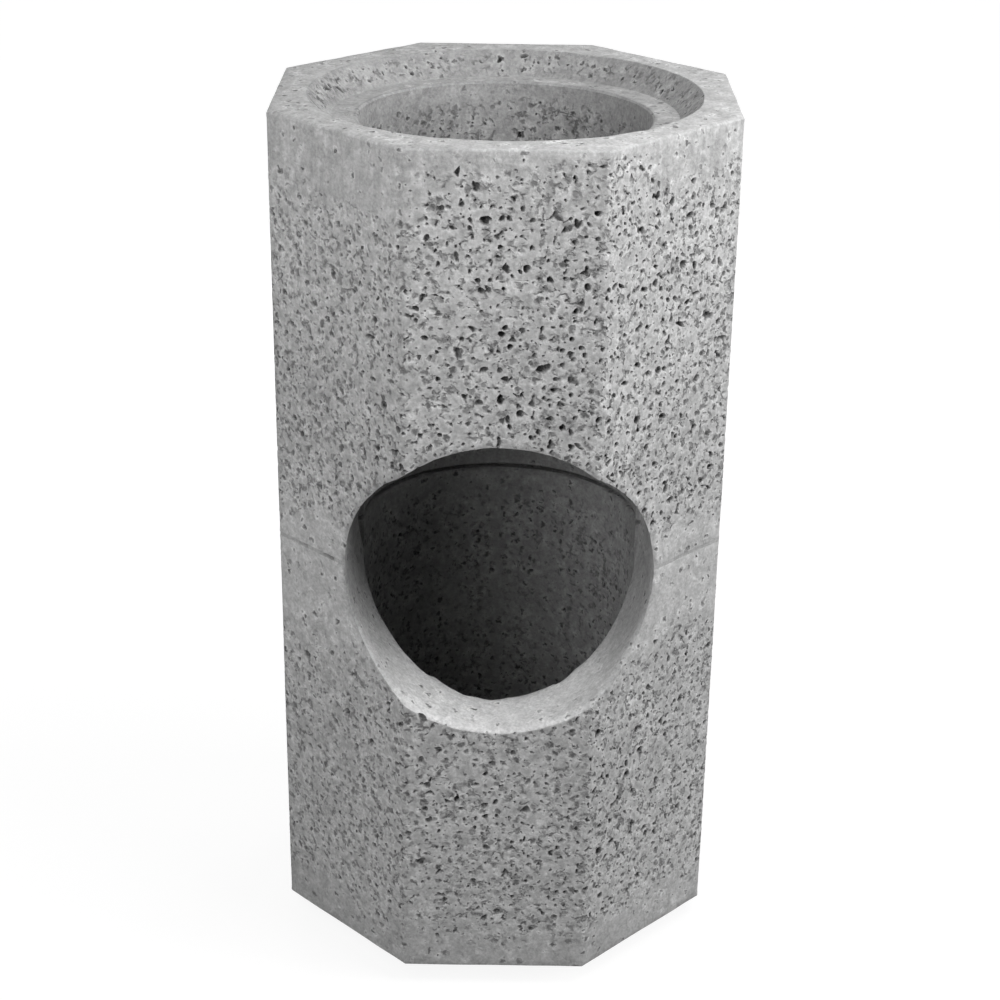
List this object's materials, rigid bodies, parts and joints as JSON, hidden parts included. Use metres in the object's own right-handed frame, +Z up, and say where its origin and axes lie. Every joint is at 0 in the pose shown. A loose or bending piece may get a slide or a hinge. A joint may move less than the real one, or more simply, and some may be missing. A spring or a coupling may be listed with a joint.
{
  "type": "concrete flue liner tee",
  "caption": "Octagonal lightweight-concrete flue liner blocks bedded one on the other, with a round flue, a rebated joint and a round side inlet through the walls at the joint.",
  "frame": {"origin": "on the flue axis, at the foot of the lower spigot", "axes": "+Z up along the flue, -Y out of the side inlet, +X to the right seen from the inlet"},
  "size_m": [0.31, 0.31, 0.619],
  "materials": {
    "liner_concrete": "moulded, open-textured and pitted, matt",
    "bed_mortar": "struck, fine-grained, matt"
  },
  "bodies": {
    "root": {"lower_liner": "liner_concrete", "upper_liner": "liner_concrete", "bed_mortar": "bed_mortar"}
  },
  "joints": []
}
